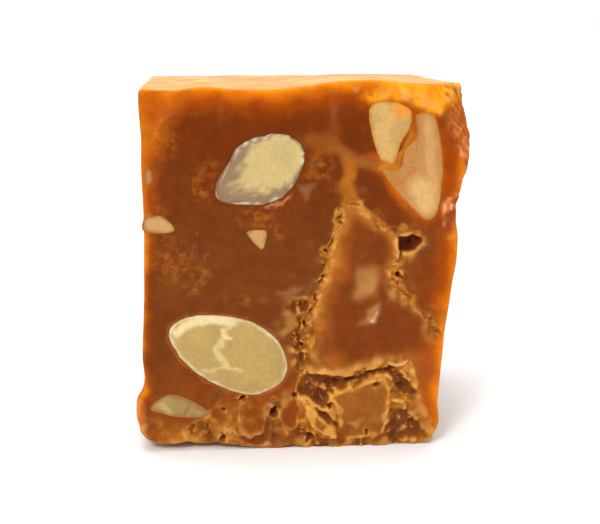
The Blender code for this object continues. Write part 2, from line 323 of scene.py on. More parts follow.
def inside(places, outline):
    """How far inside a closed outline each place lies: below 0 outside it, and -FAR at most."""
    outline = np.asarray(outline, float)
    depth = np.full(len(places), -FAR)
    near = np.all((places > outline.min(axis=0) - FAR) & (places < outline.max(axis=0) + FAR), axis=1)
    here = places[near]
    crossings = np.zeros(len(here), bool)
    for (ax, az), (bx, bz) in zip(outline, np.roll(outline, -1, axis=0)):
        spans = (az > here[:, 1]) != (bz > here[:, 1])
        rise = bz - az if bz != az else 1.0
        crossings ^= spans & (here[:, 0] < ax + (here[:, 1] - az) / rise * (bx - ax))
    gap = np.minimum(route_gap(here, np.vstack([outline, outline[:1]])), FAR)
    depth[near] = np.where(crossings, gap, -gap)
    return depth


def closed_curve(points, each=6):
    """A smooth closed curve through these points, with this many steps between each two."""
    points = np.array(points, float)
    before, after, beyond = (np.roll(points, shift, axis=0) for shift in (1, -1, -2))
    part = (np.arange(each) / each)[:, None, None]
    curve = hermite(part, points, (after - before) / 2, after, (beyond - points) / 2)
    return curve.transpose(1, 0, 2).reshape(-1, 2)


def on_almond(spec, ahead, across):
    """Places on a face from places on a leaning almond, given as shares of its half length and half width."""
    centre, length, width, lean = spec
    turn = math.radians(lean)
    ahead, across = np.asarray(ahead) * length / 2, np.asarray(across) * width / 2
    run = np.array((math.cos(turn), math.sin(turn)))
    return np.array(centre) + np.outer(ahead, run) + np.outer(across, (-run[1], run[0]))


def almond_outline(spec):
    """A pointed, uneven oval, with its sharper tip at the upper end of its lean."""
    angle = np.linspace(0, 2 * np.pi, 60, endpoint=False)
    across = np.sign(np.sin(angle)) * np.abs(np.sin(angle)) ** (1.15 + 0.25 * np.cos(angle))
    return ragged(on_almond(spec, np.cos(angle), across), 3.5, 0.35, 90)


def bell(value, middle, reach):
    """1 where the value is at the middle, and less the further off it is, as this reach tells."""
    return np.exp(-(((value - middle) / reach) ** 2))


def lay(under, colour, amount):
    """Colours with another laid over them, by this amount at each place."""
    return under + (np.asarray(colour) - under) * np.clip(amount, 0, 1)[:, None]


def ramp(value, *stops):
    """A colour for each value, blended between (value, colour) stops."""
    at, colours = zip(*stops)
    return np.stack([np.interp(value, at, channel) for channel in zip(*colours)], axis=1)


# ---- meshes


def all_edges(triangles):
    """The two ends of every triangle's edges: first all the first edges, then the second, then the third."""
    return np.concatenate([triangles[:, [0, 1]], triangles[:, [1, 2]], triangles[:, [2, 0]]])


def split_edges(points, triangles, wanted):
    """Splits the edges longer than wanted(its middle), in all triangles that share them, a few times over."""
    for _ in range(SPLIT_ROUNDS):
        ends = np.sort(all_edges(triangles), axis=1)
        keys = ends[:, 0] * len(points) + ends[:, 1]
        _, first, which = np.unique(keys, return_index=True, return_inverse=True)
        start, end = points[ends[first]].transpose(1, 0, 2)
        middles = (start + end) / 2
        long = np.linalg.norm(start - end, axis=1) > wanted(middles)
        new = np.full(len(first), -1)
        new[long] = len(points) + np.arange(long.sum())
        points = np.vstack([points, middles[long]])
        triangles = split_triangles(triangles, new[which.reshape(-1)].reshape(3, -1).T, points)
    return points, triangles


def split_triangles(triangles, middles, points):
    """Each triangle cut at those of its three edges that have a middle point (not -1)."""
    marked = middles >= 0
    count = marked.sum(axis=1)
    pieces = [triangles[count == 0]]

    def keep(chosen, *corners):
        pieces.append(np.stack(corners, axis=1)[chosen])

    for turn in range(3):
        order = [(turn + k) % 3 for k in range(3)]
        a, b, c = triangles[:, order].T
        ab, bc, _ = middles[:, order].T
        one = (count == 1) & marked[:, order[0]]
        keep(one, a, ab, c)
        keep(one, ab, b, c)
        two = (count == 2) & ~marked[:, order[2]]
        slant, other = points[a] - points[bc], points[ab] - points[c]
        straight = np.linalg.norm(slant, axis=1) < np.linalg.norm(other, axis=1)
        keep(two, ab, b, bc)
        keep(two & straight, a, ab, bc)
        keep(two & straight, a, bc, c)
        keep(two & ~straight, a, ab, c)
        keep(two & ~straight, ab, bc, c)
    a, b, c = triangles.T
    ab, bc, ca = middles.T
    for corners in ((a, ab, ca), (ab, b, bc), (ca, bc, c), (ab, bc, ca)):
        keep(count == 3, *corners)
    return np.concatenate(pieces)


def normals_of(points, triangles):
    """The outward direction at each point, from the triangles round it."""
    a, b, c = points[triangles].transpose(1, 0, 2)
    flat = np.cross(b - a, c - a)
    total = np.zeros_like(points)
    for corner in range(3):
        for axis in range(3):
            total[:, axis] += np.bincount(triangles[:, corner], flat[:, axis], len(points))
    return total / np.maximum(np.linalg.norm(total, axis=1, keepdims=True), 1e-12)


def placed(name, data):
    """A new object in the scene that shows this mesh, light or camera."""
    made = bpy.data.objects.new(name, data)
    bpy.context.scene.collection.objects.link(made)
    return made


def add_mesh(name, points, faces, material, tint, **masks):
    """A smooth-shaded mesh object from points in millimetres, with its colours and masks as attributes."""
    data = bpy.data.meshes.new(name)
    data.from_pydata((points * MM).tolist(), [], faces.tolist())
    data.shade_smooth()
    colours = data.attributes.new("tint", "FLOAT_COLOR", "POINT")
    solid = np.hstack([np.clip(tint, 0, 1), np.ones((len(points), 1))])
    colours.data.foreach_set("color", solid.astype(np.float32).ravel())
    for mask, values in masks.items():
        layer = data.attributes.new(mask, "FLOAT", "POINT")
        values = np.clip(np.broadcast_to(values, len(points)), 0, 1)
        layer.data.foreach_set("value", values.astype(np.float32))
    data.materials.append(material)
    return placed(name, data)


def add_joined(name, parts, material, **masks):
    """One mesh object from many parts, each given as its points, triangles and colours."""
    points, triangles, tints = zip(*parts)
    starts = np.cumsum([0] + [len(part) for part in points[:-1]])
    triangles = np.vstack([faces + start for faces, start in zip(triangles, starts)])
    return add_mesh(name, np.vstack(points), triangles, material, np.vstack(tints), **masks)


# ---- the block's shape


def side_at(side, at_back, depth, place):
    """How far out a side is at a place along it: its list's curve at the front, and straight at the back."""
    share = (depth - FRONT) / DEPTH
    return along(side, place) * (1 - share) + at_back * share


def beyond_facet(points, facing, through):
    """How far beyond a facet's plane each point lies, and the way that the facet faces, as a unit vector."""
    facing = np.array(facing) / np.linalg.norm(facing)
    return (points - np.array(through)) @ facing, facing


def fitted(places):
    """Points of a plain box moved to the real block, with rounded edges and sides that bulge and lean."""
    radius = EDGE_RADIUS * (1 + 0.35 * noise(places, 7.0, 3))[:, None]
    inner = np.clip(places, radius - HALVES, HALVES - radius)
    away = places - inner
    places = inner + away / np.linalg.norm(away, axis=1, keepdims=True) * radius
    x, depth, height = places[:, 0], places[:, 1], places[:, 2] + HEIGHT / 2
    left = side_at(LEFT_SIDE, BACK_LEFT, depth, height)
    right = side_at(RIGHT_SIDE, BACK_RIGHT, depth, height)
    across = left + (right - left) * (x / WIDTH + 0.5)
    top = side_at(TOP_SIDE, BACK_TOP, depth, across)
    foot = along(FOOT_SIDE, across) * np.clip(1 - (depth - FRONT) / FOOT_LIFT_DEPTH, 0, 1) ** 2
    points = np.stack([across, depth, foot + (top - foot) * height / HEIGHT], axis=1)
    for facing, through, rough in FACETS:
        over, facing = beyond_facet(points, facing, through)
        over += rough * noise(points, 1.3, 5, 3) * ease(-0.6, 0.2, over)
        points -= np.maximum(over, 0)[:, None] * facing
    return points


def box_grid(step):
    """The plain box as triangles of about this size: its points, and which corners each triangle joins."""
    counts = np.ceil(2 * HALVES / step).astype(int)
    index, points, triangles = {}, [], []

    def corner(key):
        if key not in index:
            index[key] = len(points)
            points.append(-HALVES + 2 * HALVES * np.array(key) / counts)
        return index[key]

    for fixed in range(3):
        first, second = (fixed + 1) % 3, (fixed + 2) % 3
        for end in (0, counts[fixed]):
            for i, j in itertools.product(range(counts[first]), range(counts[second])):
                ring = []
                for di, dj in ((0, 0), (1, 0), (1, 1), (0, 1)):
                    key = [0, 0, 0]
                    key[fixed], key[first], key[second] = end, i + di, j + dj
                    ring.append(corner(tuple(key)))
                if end == 0:
                    ring.reverse()
                a, b, c, d = ring
                triangles += [(a, b, c), (a, c, d)] if (i + j) % 2 else [(a, b, d), (b, c, d)]
    return np.array(points), np.array(triangles)


# The outlines above as smooth curves
FRONT_OUTLINES = {name: closed_curve(points) for name, points in ALMONDS.items()}
HIDDEN_OUTLINES = {name: (face, almond_outline(spec)) for name, (face, *spec) in HIDDEN_ALMONDS.items()}
HOLLOW_OUTLINES = {name: (closed_curve(points, 3), *rest) for name, (points, *rest) in HOLLOWS.items()}
CRUMBLY_OUTLINES = [closed_curve(points, 3) for points in CRUMBLY]
PLATE_OUTLINES = [(closed_curve(points, 3), height, slope) for points, height, slope in PLATES]
CHIP_OUTLINES = [closed_curve(points, 3) for points in CHIPS]
FRAGMENT_OUTLINE = closed_curve(FRAGMENT, 3)

# Which axis each hidden face looks along, and where the plain box ends there
FACE_ENDS = {"back": (1, BACK), "left": (0, -WIDTH / 2), "right": (0, WIDTH / 2)}


def swell(points):
    """The gentle waves of the block's faces, which its cut nuts share."""
    return 0.10 * noise(points, 11.0, 30) + 0.04 * noise(points, 3.0, 31)


def crumbliness(here):
    """How crumbly the front face is at each (across, up), from 0 to 1."""
    loose = ragged(here, 1.8, 0.7, 21)
    amount = np.zeros(len(here))
    for outline in CRUMBLY_OUTLINES:
        amount = np.maximum(amount, ease(-0.4, 0.7, inside(loose, outline)))
    for route, _, _ in FISSURES.values():
        amount = np.maximum(amount, 0.55 * ease(0.8, 0.2, route_gap(loose, route)))
    calm = 1 - 0.4 * ease(-7.5, -10, here[:, 0])
    return amount * calm * ease(-1.0, -0.1, noise(here, 2.6, 22, 2))


def chipped(here):
    """How much each (across, up) belongs to a chip broken off the right edge, from 0 to 1."""
    loose = ragged(here, 1.4, 0.4, 23)
    return np.max([ease(-0.3, 0.4, inside(loose, outline)) for outline in CHIP_OUTLINES], axis=0)


def fissure_opening(here, route, half_width):
    """How open a fissure is at each place: a broken chain of ragged gaps along its route."""
    gap = route_gap(ragged(here, 0.6, 0.20, 25), route)
    chain = ease(-0.1, 0.5, noise(here, 0.62, 26, 2))
    return ease(1.4, 0.4, gap / (half_width * (0.5 + 0.7 * chain))) * (0.2 + 0.8 * chain)


def hollow_depth(here, outline, slope):
    """How far down a hollow's floor each place is, from 0 to 1."""
    return ease(-0.1, slope, inside(ragged(here, 0.8, 0.25 * slope**0.5, 34), outline))


def almond_seat(sunk, within, film=False):
    """The relief with its ground taken down under an almond, so that the almond's own face shows.

    The almond has a groove round it, or else a film of fudge laps over its edge.
    """
    start, groove = (0.16, -0.06) if film else (0.0, 0.07)
    seat = sunk * ease(0.3, -0.5, within) + SEAT_DEPTH * ease(start, start + 0.4, within)
    return seat + groove * bell(within, start, 0.2)


def crumb_relief(places, seed):
    """The uneven depth of broken fudge: lumps, sharp ridges and grains."""
    loose = ragged(places, 1.0, 0.35, seed)
    ridges = 1 - 2 * np.abs(noise(loose, 1.7, seed + 1, 2))
    lumps = 0.26 * noise(loose, 2.4, seed + 3, 2)
    fine = 0.08 * noise(places, 0.5, seed + 4, 2)
    return 0.38 + lumps - 0.20 * ridges + 0.26 * (grains(loose, 1.0, seed + 2) - 0.45) + fine


def front_relief(here):
    """How far the front face is sunk at each (across, up), in millimetres, beyond its swell."""
    broken = crumbliness(here) * crumb_relief(here, 60)
    loose = ragged(here, 0.8, 0.22, 37)
    for outline, height, slope in PLATE_OUTLINES:
        on = ease(-0.1, slope, inside(loose, outline))
        broken = broken * (1 - 0.85 * on) + (0.55 - height) * on
        broken -= 0.10 * bell(on, 0.6, 0.3)
    sunk = broken + chipped(here) * (0.15 + 0.28 * crumb_relief(here * 1.5, 80))
    rim = inside(ragged(here, 0.9, 0.3, 33), FRAGMENT_OUTLINE)
    lip = bell(rim, 0.4, 0.35) * ease(17.6, 16.4, here[:, 0])
    sunk += lip * (0.24 * (grains(here, 0.55, 38) - 0.5) - 0.10)
    for route, half_width, depth in FISSURES.values():
        sunk += depth * fissure_opening(here, route, half_width)
    uneven = 0.8 + 0.35 * noise(here, 1.0, 35, 3)
    for outline, depth, slope in HOLLOW_OUTLINES.values():
        sunk += hollow_depth(here, outline, slope) * depth * uneven
    pits, lumps = ragged(here, 0.7, 0.2, 36), ragged(here, 1.2, 0.3, 39)
    for x, z, radius, depth in PITS:
        sunk += depth * ease(1.25, 0.35, off_spot(pits, x, z) / radius)
    for x, z, radius, height in LUMPS:
        sunk -= height * ease(1.1, 0.1, off_spot(lumps, x, z) / radius)
    for name, outline in FRONT_OUTLINES.items():
        sunk = almond_seat(sunk, inside(here, outline), name in FILMED)
    return sunk


def side_crumb(points):
    """How crumbly the sides, back and top are: a broken band at the foot, and a few patches."""
    band = ease(5.0, 1.5, points[:, 2] + 2.6 * noise(points, 4.5, 41, 3))
    patch = ease(0.45, 0.75, noise(ragged(points, 3.0, 1.0, 46), 9.0, 42, 2)) * ease(42, 38, points[:, 2])
    return np.maximum(band, 0.8 * patch) * ease(-0.7, 0.1, noise(points, 2.2, 43, 2))


def side_relief(points):
    """How far the faces away from the front are sunk beyond their swell."""
    near = grains(ragged(points, 0.9, 0.3, 44), 1.1, 45)
    sunk = side_crumb(points) * (0.26 + 0.34 * noise(points, 1.8, 48, 3) + 0.45 * (near - 0.45))
    return sunk + 0.55 * ease(0.085, 0.03, grains(points, 7.5, 49))


def wanted_size(middles):
    """How long an edge of the plain box with this middle may be, in millimetres."""
    size = np.full(len(middles), LONGEST["plain"])
    real = fitted(middles)
    size[side_crumb(real) > 0.2] = LONGEST["side crumbs"]
    for face, route, _, _ in HIDDEN_FISSURES:
        axis, end = FACE_ENDS[face]
        near = np.flatnonzero(middles[:, axis] * np.sign(end) > abs(end) - 0.4)
        close = route_gap(real[near][:, [1 - axis, 2]], route) < 0.8
        size[near[close]] = LONGEST["hidden fissure"]
    size[np.sum(np.abs(middles) > HALVES - 0.75, axis=1) >= 2] = LONGEST["edge"]
    front = middles[:, 1] < FRONT + 0.4
    here = real[front][:, [0, 2]]
    fine = np.full(len(here), LONGEST["front"])
    for x, z, radius, _ in LUMPS:
        fine[off_spot(here, x, z) < radius * 1.3] = LONGEST["lump"]
    fine[(crumbliness(here) > 0.12) | (chipped(here) > 0.1)] = LONGEST["crumbs"]
    for route, _, _ in FISSURES.values():
        fine[route_gap(here, route) < 0.6] = LONGEST["fissure"]
    for outline, _, _ in HOLLOW_OUTLINES.values():
        fine[inside(here, outline) > -0.4] = LONGEST["hollow"]
    for x, z, radius, _ in PITS:
        fine[off_spot(here, x, z) < radius * 1.6] = LONGEST["pit"]
    for outline in FRONT_OUTLINES.values():
        within = inside(here, outline)
        fine[np.abs(within) < 0.4] = LONGEST["almond rim"]
        fine[within > 0.7] = LONGEST["under almond"]
    size[front] = fine
    return size


def build_block():
    """The block's points, triangles and outward normals, fine where there is detail."""
    plain, triangles = split_edges(*box_grid(GRID_STEP), wanted_size)
    points = fitted(plain)
    return points, triangles, normals_of(points, triangles)


def spread(values, triangles, rounds):
    """The values of a mesh's points, each made the average of its neighbours' this many times."""
    ends = all_edges(triangles)
    ends = np.concatenate([ends, ends[:, ::-1]])
    count = np.bincount(ends[:, 0], minlength=len(values)) + 1
    for _ in range(rounds):
        values = (values + np.bincount(ends[:, 0], values[ends[:, 1]], len(values))) / count
    return values


# ---- the block's colours

DARK, MID, WARM = look(122, 54, 17), look(125, 65, 26), look(148, 76, 25)
AMBER, ORANGE, PALE_ORANGE = look(174, 78, 2), look(216, 121, 8), look(234, 144, 26)
TAN, PALE_TAN = look(194, 127, 48), look(226, 169, 86)
# The third colour is painted shade: the near black-brown of the deepest hollows.
BROWN, UMBER, VOID_SHADE = look(144, 84, 36), look(126, 68, 38), look(106, 50, 36)
# The second colour is the top's pale colour: partly sugar bloom, partly painted overhead light.
RUSTY, BLOOM_AND_TOP_LIGHT = look(196, 108, 40), look(234, 149, 78)
FRAGMENT_BROWN, RED_BROWN, HOLE_RED = look(134, 66, 24), look(166, 62, 4), look(96, 38, 26)

# Each broken facet's colour, painted paler and more orange as painted light where the facet catches the light
# and glows, how softly it starts, and the heights that it fades between, or none
FACET_GLOW_LOOKS = ((look(200, 106, 22), 1.3, None), (RUSTY, 0.45, (43.2, 41.6)), (PALE_ORANGE, 0.6, None))

# Soft patches seen through a thin film of fudge: outline, colour, softness, amount
PATCHES = (
    (((2.9, 44.2), (5, 44.3), (3.9, 41.7)), look(206, 118, 62), 0.35, 0.75),
    (((-0.3, 33.6), (1.6, 33.6), (0.8, 31.6)), look(160, 108, 66), 0.45, 0.8),
    (((-3, 20.4), (0.2, 21), (-0.8, 19.4)), look(168, 118, 74), 0.5, 0.8),
    (((7, 23.5), (9.6, 23.4), (9, 19.8), (6.2, 19.2)), look(184, 128, 70), 0.9, 0.85),
    (((8, 22.8), (9.6, 22.4), (8.4, 20.2)), look(198, 148, 88), 0.7, 0.6),
    (((6.8, 15.6), (9.6, 19), (9.5, 16.5)), look(182, 126, 74), 0.35, 0.8),
    (((8, 16.8), (9.4, 17.4), (9, 16.3)), look(232, 196, 146), 0.25, 0.9),
    (((5.7, 3.1), (7.8, 3.8), (6.9, 2.3)), look(198, 142, 80), 0.3, 0.7),
    (((15.3, 8.3), (17.2, 9.2), (17, 7.5)), look(210, 140, 82), 0.5, 0.85),
    (((15.4, 11.5), (17.4, 11.2), (16.4, 10.3)), look(222, 156, 94), 0.4, 0.7),
    (((-21.5, 7.2), (-19.7, 7), (-19.4, 3.8), (-19.8, 2.4), (-21.5, 2.4)), look(220, 152, 84), 0.4, 0.9),
    (((4.8, 37.6), (6.8, 36), (6.3, 33.8), (7.1, 31), (5.2, 30.9), (4.3, 33), (5, 34.8)),
        look(180, 108, 34), 0.45, 0.95),
    (((7.3, 35.3), (9.5, 34.8), (12, 31), (14, 27.8), (11, 28.4), (7.6, 32)), look(126, 56, 20), 0.8, 0.7),
    (((13.6, 12.4), (17.4, 12.8), (17.6, 5), (14.6, 6.6)), look(194, 120, 56), 0.8, 0.5),
    (((17, 41.4), (19.2, 37.5), (19, 33.4), (17.5, 33)), RED_BROWN, 0.7, 0.9),
    (((16.2, 42.2), (17.4, 38), (17.4, 30), (15.5, 28.6), (12, 31), (8.5, 37), (12, 35.8), (13.2, 39),
        (13.3, 43)), look(200, 100, 18), 0.7, 0.95),
)

# The film of fudge that runs over the split almond's top, painted in the bright orange of a glow where the
# top edge is lit, and the pale lumps in it, which are painted highlights
GLAZE_GLOW_AND_HIGHLIGHTS = (
    (((7.2, 43.6), (9.4, 45.4), (13, 45.8), (17.4, 45.6), (19.6, 45.6), (19.6, 43.6), (17.2, 43.2),
        (16.6, 42), (13.4, 42.6), (10.5, 43.8), (8.6, 43.2)), look(252, 166, 34), 0.8, 0.95),
    (((11.6, 44.6), (13.8, 44.4), (13.4, 43.4), (12.2, 43.6)), look(250, 190, 96), 0.4, 0.7),
    (((14.4, 43.9), (16.6, 43.6), (16, 42.8), (14.8, 43)), look(248, 176, 84), 0.4, 0.6),
    (((17.4, 45), (19, 45), (18.4, 43.8), (17.6, 43.9)), look(250, 190, 100), 0.4, 0.7),
)

# Pale seams under the surface, and a painted highlight on a sliver of fudge: route, half width, colour,
# amount
SEAMS = (
    (((3.4, 38.4), (6.5, 36.4), (11.5, 35.2)), 0.7, look(180, 108, 44), 0.75),
    (((1, 39), (3.4, 38.4)), 1, look(158, 88, 30), 0.7),
    (((4.2, 44), (4, 41), (3.6, 38.6)), 0.8, look(150, 80, 30), 0.6),
    (((-14.4, 44.2), (-15.6, 42.4), (-17.6, 40.6)), 0.25, look(222, 140, 70), 0.8),
    (((-17.8, 44.6), (-18.6, 42.8)), 0.2, look(232, 160, 84), 0.8),
    # Painted highlight: a thin sliver of fudge film at the upper almond's lower right, pale where it catches
    # the light.
    (((-4.9, 30.7), (-3.9, 31.2), (-2.4, 31.5), (-1.5, 32.3)), 0.12, look(212, 148, 92), 0.8),
    (((13.4, 42.2), (13.3, 39.4), (12.5, 38.2), (11.9, 36.6), (11.5, 35.6), (9.6, 35.6)),
        0.35, look(200, 124, 30), 0.9),
    (((-15.2, 22), (-13.4, 24.4), (-12.6, 27.8)), 0.10, look(176, 112, 62), 0.5),
    (((-13.8, 20.4), (-12.2, 22.2), (-11.4, 25.4)), 0.10, look(176, 112, 62), 0.5),
)

# Where the front face is clouded with orange crystals: centre, half width, half height
CLOUDS = (
    (-12.3, 33, 1.7, 2.2), (-11, 35.7, 1.3, 1.2), (-5.3, 29.6, 2.5, 1.4), (-3, 28, 1.2, 1.2),
    (-15.6, 24.6, 3.2, 3.8), (-12.4, 22.6, 2.2, 1.8), (-17.6, 30.4, 1.6, 1.8), (-6.8, 19.5, 3.6, 1.3),
    (-13.6, 20.8, 1.6, 1.2), (2.4, 35.6, 1.9, 1.6), (-16.6, 39.4, 1.6, 2.2), (-8.4, 5, 2.6, 2.2),
    (-16, 2.4, 3.6, 1.4),
)


def edge_glow(colour, gap, reach, amount):
    """Lays the orange of a lit, translucent edge over the colour: gap is the distance from that edge."""
    scaled = gap / reach
    glow = ramp(scaled, (0, PALE_ORANGE), (0.16, ORANGE), (0.45, AMBER), (1.2, DARK))
    return lay(colour, glow, amount * ease(1.5, 0.3, scaled))


def haze(colour, loose, strength, patches):
    """Lays soft-edged patches over the colour: loose are the ragged places that they are measured at."""
    for outline, shade, soft, amount in patches:
        colour = lay(colour, shade, amount * ease(-soft, soft, inside(loose, outline)) * strength)
    return colour


def front_tint(here):
    """The front face's smooth colours at each (across, up), with painted glow at its edges and painted
    highlights on the film over the split almond, and how much its fine crystals show.
    """
    x, z = here.T
    mottle = noise(here, 6.0, 51, 3)
    colour = ramp(z + 3 * mottle, (6, WARM), (14, MID), (26, MID), (40, DARK))
    colour = lay(colour, WARM, 0.6 * ease(8, 17, x + 2 * mottle))
    within = inside(ragged(here, 1.6, 0.4, 52), FRAGMENT_OUTLINE)
    colour = lay(colour, FRAGMENT_BROWN, 0.9 * ease(-0.1, 0.3, within))
    left = ease(-1.5, 1.5, 4.6 + (z - 10) * 0.1 - x + 1.2 * mottle) * (1 - 0.5 * ease(22, 28, z))
    border = ease(1.8 + 2.8 * left, 0.4, within) * ease(-0.25, 0.1, within)
    border = border * (0.35 + 0.6 * left) * ease(13.5, 11, x)
    lower = ease(14, 10, z) * ease(10, 13, x)
    tan = np.maximum(0.9 * border, 0.85 * lower * ease(0, 0.5, within))
    colour = lay(colour, look(176, 100, 32), tan * (0.95 + 0.5 * mottle))
    lip = ease(-0.2, 0.2, within) * ease(1.6, 0.5, within) * ease(17.6, 16.4, x) * ease(0.2, 1.5, z)
    lip = 0.7 * lip * (0.6 + 0.5 * left) * (1 + 0.5 * noise(here, 1.2, 55, 2))
    colour = lay(colour, look(192, 126, 54), lip)
    plateau = inside(ragged(here, 1.0, 0.3, 66), PLATE_OUTLINES[0][0])
    plateau = ease(-0.4, 0.3, plateau) * (0.8 + 0.5 * noise(here, 1.6, 67, 2))
    colour = lay(colour, look(150, 89, 33), plateau)
    colour = haze(colour, ragged(here, 1.2, 0.3, 53), 1 + 0.25 * noise(here, 1.5, 50, 2), PATCHES)
    loose = ragged(here, 1.0, 0.3, 58)
    for route, half_width, seam, amount in SEAMS:
        colour = lay(colour, seam, amount * ease(half_width * 1.8, 0, route_gap(loose, route)))
    gap = inside(here, FRONT_OUTLINES["almond_lower"]) + 0.15 * noise(here, 1.2, 56)
    colour = lay(colour, look(182, 106, 56), 0.5 * bell(gap, -0.1, 0.2))
    cloud = np.zeros(len(here))
    for cx, cz, half_x, half_z in CLOUDS:
        gap = np.hypot((x - cx) / half_x, (z - cz) / half_z)
        cloud = np.maximum(cloud, ease(1.5, 0.3, gap + 0.5 * mottle))
    rough_gap = 0.4 * noise(here, 2.4, 54, 2)
    upper = ease(24, 36, z)
    # Painted glow: the orange of light shining through the thin top, left and right edges.
    for gap, reach, amount in (
        (along(TOP_SIDE, x) - z, 3.7 + 1.4 * ease(4, 9, x), 1.0),
        (x - along(LEFT_SIDE, z), 1.1 + 1.4 * upper, 0.65),
        (along(RIGHT_SIDE, z) - x, 3.4, 0.85),
    ):
        colour = edge_glow(colour, np.maximum(gap + rough_gap, 0), reach, amount)
    # Painted light: the film over the split almond's top in its glowing orange, with painted highlights on
    # its lumps.
    colour = haze(colour, ragged(here, 1.2, 0.4, 59), 0.92 + 0.6 * noise(here, 1.4, 72, 2), GLAZE_GLOW_AND_HIGHLIGHTS)
    shades = (-0.6, look(150, 70, 42)), (0.0, look(194, 108, 52)), (0.6, look(234, 170, 108))
    rusty = ramp(noise(here, 0.9, 57, 2), *shades)
    return lay(colour, rusty, 0.9 * chipped(here)), cloud


def side_tint(points, normals):
    """The smooth colours of the top, the sides, the back and the underside, with painted glow along the edges
    and a top painted paler where the overhead light falls on it.
    """
    mottle = noise(points, 6.0, 61, 3)
    colour = np.tile(MID, (len(points), 1))
    colour = lay(colour, WARM, 0.5 + 0.5 * mottle)
    right = ease(0.5, 0.8, normals[:, 0])
    colour = lay(colour, look(172, 100, 44), right * (0.85 + 0.2 * mottle))
    x, y, z = points.T
    uneven = 0.6 * noise(points, 3.5, 69, 2)
    # Painted glow: the orange of light shining through each face's edges.
    for gap, axis, sign in (
        (np.abs(y - FRONT), 1, -1),
        (np.abs(BACK - y), 1, 1),
        (x - LOW[0], 0, -1),
        (HIGH[0] - x, 0, 1),
        (HEIGHT - z, 2, 1),
    ):
        on_that_face = normals[:, axis] * sign > 0.5
        gap = np.maximum(gap - 0.4 + uneven, 0)
        colour = edge_glow(colour, np.where(on_that_face, 9.0, gap), 2.4, 0.6)
    # Painted light: faces that look up are laid paler, partly as sugar bloom and partly as the overhead light
    # falling on them.
    top = ease(0.35, 0.75, normals[:, 2])
    colour = lay(colour, BLOOM_AND_TOP_LIGHT, top * (0.9 + 0.12 * noise(points, 2.5, 62, 3)))
    blotches = ease(0.0, 0.7, noise(ragged(points, 4.0, 1.5, 33), 5.0, 68, 3))
    colour = lay(colour, look(216, 118, 40), 0.55 * top * blotches)
    # Painted highlight: pale streaks of sheen across the top.
    streaks = ease(0.15, 0.7, noise(points * (0.45, 1.0, 1.0), 1.3, 70, 3))
    return lay(colour, look(246, 190, 130), 0.6 * top * streaks)


def facet_tint(colour, points):
    """Lays the paler, rougher look of the broken facets over the colour: painted light, where the facets
    catch the light and glow.
    """
    for (facing, through, _), (shade, soft, fades) in zip(FACETS, FACET_GLOW_LOOKS):
        on = ease(-soft, -0.05, beyond_facet(points, facing, through)[0])
        if fades:
            on *= ease(*fades, points[:, 2])
        colour = lay(colour, shade, on * (0.55 + 0.6 * noise(points, 1.8, 63, 3)))
    return colour


def crumb_tint(colour, points, crumb, sunk, triangles):
    """Broken fudge is paler on its crests, where it is thin and sugary, with painted highlight and glow where
    they catch the light; and it is painted dark deep down and in its creases, as painted shade.
    """
    crest = spread(sunk, triangles, 14) - spread(sunk, triangles, 2)
    patch = 0.42 * noise(points, 1.7, 64, 3)
    patch += (0.8 * noise(points, 2.8, 71, 2) - 0.05) * ease(-8, -11, points[:, 0])
    patch += 0.36 * ease(-9, -7, points[:, 0]) * ease(0.5, -1.5, points[:, 0])
    # Painted shade: the deeper a place is sunk, the darker its colour, down to near black-brown in the
    # deepest hollows and fissures.
    deep = ramp(sunk + patch, (-0.30, PALE_TAN), (0.10, TAN), (0.55, BROWN), (1.3, UMBER), (2.4, VOID_SHADE))
    colour = lay(colour, deep, np.maximum(0.85 * ease(0.1, 0.6, crumb), ease(0.35, 1.0, sunk)))
    # Painted shade in the dips between crests, and painted highlight on the crests themselves.
    colour = lay(colour, UMBER, 0.6 * ease(-0.08, -0.30, crest))
    return lay(colour, PALE_TAN, 0.8 * ease(0.02, 0.15, crest + 0.04 * noise(points, 1.7, 64, 2)))


# ---- pieces


